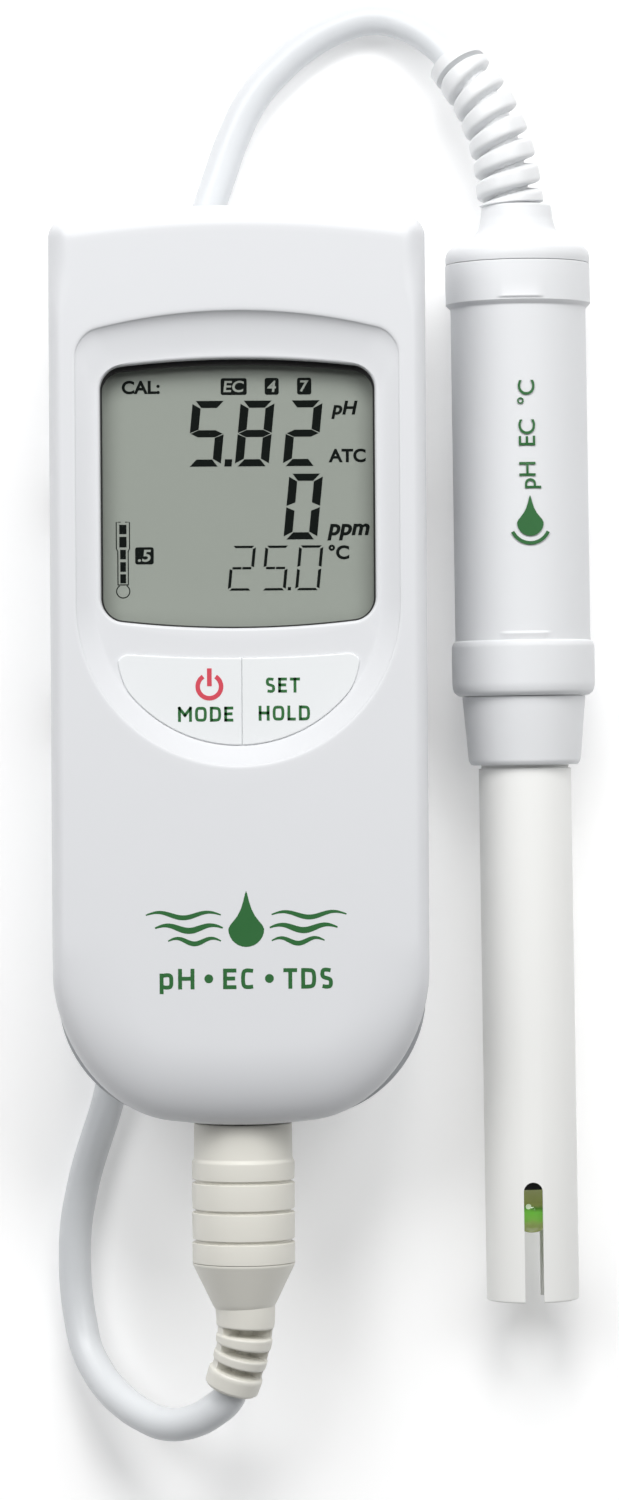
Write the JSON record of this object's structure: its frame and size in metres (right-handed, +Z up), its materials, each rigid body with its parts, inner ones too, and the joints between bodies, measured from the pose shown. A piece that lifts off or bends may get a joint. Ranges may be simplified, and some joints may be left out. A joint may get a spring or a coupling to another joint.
{
  "type": "ph meter",
  "caption": "Hand-held pH, EC and TDS meter with a display, keys and a corded electrode probe on a screw-lock plug.",
  "frame": {"origin": "on the surface that the meter and its probe lie on, under the middle of their outline without the cord", "axes": "+X right across the display, +Y towards the top of the display and the probe's cap, +Z up out of the display"},
  "size_m": [0.0857, 0.2293, 0.0415],
  "materials": {
    "case_white": "satin white moulded plastic",
    "key_white": "soft white key film",
    "seal_grey": "light grey silicone",
    "black_rubber": "matte black rubber",
    "steel": "plain steel",
    "clear_window": "clear polished window",
    "lcd": "grey-green liquid crystal display",
    "frame_plastic": "plain light grey plastic",
    "zebra": "striped connector rubber",
    "circuit_board": "green solder resist",
    "chip_black": "black moulded component bodies",
    "cell_jacket": "plain printed jacket",
    "nickel": "nickel plated",
    "contact_gold": "gold plated brass",
    "lead_wire": "insulated hook-up wire",
    "plug_beige": "warm grey-white moulded plastic",
    "cord_white": "smooth white cable jacket",
    "tie_black": "black woven hook-and-loop strap",
    "tube_white": "white moulded electrode body",
    "glass_clear": "clear glass",
    "glass_green": "green tinted sensing glass",
    "junction_cloth": "porous cloth"
  },
  "bodies": {
    "meter": {"front_cover": "case_white", "rear_cover": "case_white", "case_gasket": "seal_grey", "case_screws": "steel", "display_window": "clear_window", "window_seal": "black_rubber", "lcd_glass": "lcd", "lcd_frame": "frame_plastic", "zebra_strips": "zebra", "main_board": "circuit_board", "board_parts": "chip_black", "board_screws": "steel", "key_mat": "key_white", "key_switches": "chip_black", "battery_bay": "chip_black", "battery_1": "cell_jacket", "battery_2": "cell_jacket", "battery_3": "cell_jacket", "battery_springs": "steel", "battery_contacts": "steel", "battery_cover": "case_white", "battery_cover_seal": "black_rubber", "battery_cover_screws": "steel", "socket_shell": "nickel", "socket_insulator": "chip_black", "socket_contacts": "contact_gold", "socket_seal": "black_rubber", "socket_leads": "lead_wire"},
    "mode_key": {"mode_button": "key_white"},
    "set_key": {"set_button": "key_white"},
    "lead": {"plug_housing": "plug_beige", "plug_insert": "chip_black", "plug_pins": "contact_gold", "plug_shield": "nickel", "plug_seal": "black_rubber", "plug_boot": "plug_beige", "cord_lower": "cord_white", "cord_hank": "cord_white", "hank_ties": "tie_black", "cord_upper": "cord_white", "probe_gland": "cord_white", "probe_cap": "case_white", "cap_seal": "black_rubber", "handle_shell": "case_white", "amplifier_board": "circuit_board", "ferrule": "case_white", "ferrule_seal": "black_rubber", "probe_tube": "tube_white", "electrode_seal": "black_rubber", "electrode_stem": "glass_clear", "ph_bulb": "glass_green", "reference_junction": "junction_cloth", "reference_wire": "steel", "ec_pins": "steel", "temperature_sensor": "steel"},
    "ring": {"lock_ring": "plug_beige"}
  },
  "joints": [
    {"name": "mode_press", "type": "slide", "parent": "meter", "child": "mode_key", "axis": [0, 0, -1], "range_m": [0, 0.0007], "stiffness_N_per_m": 2000, "springref_m": -0.0002},
    {"name": "set_press", "type": "slide", "parent": "meter", "child": "set_key", "axis": [0, 0, -1], "range_m": [0, 0.0007], "stiffness_N_per_m": 2000, "springref_m": -0.0002},
    {"name": "plug_pull", "type": "slide", "parent": "meter", "child": "lead", "axis": [0, -1, 0], "range_m": [0, 0.014]},
    {"name": "ring_turn", "type": "hinge", "parent": "lead", "child": "ring", "pos_m": [-0.0135, -0.068, 0.026], "axis": [0, -1, 0], "continuous": true}
  ]
}
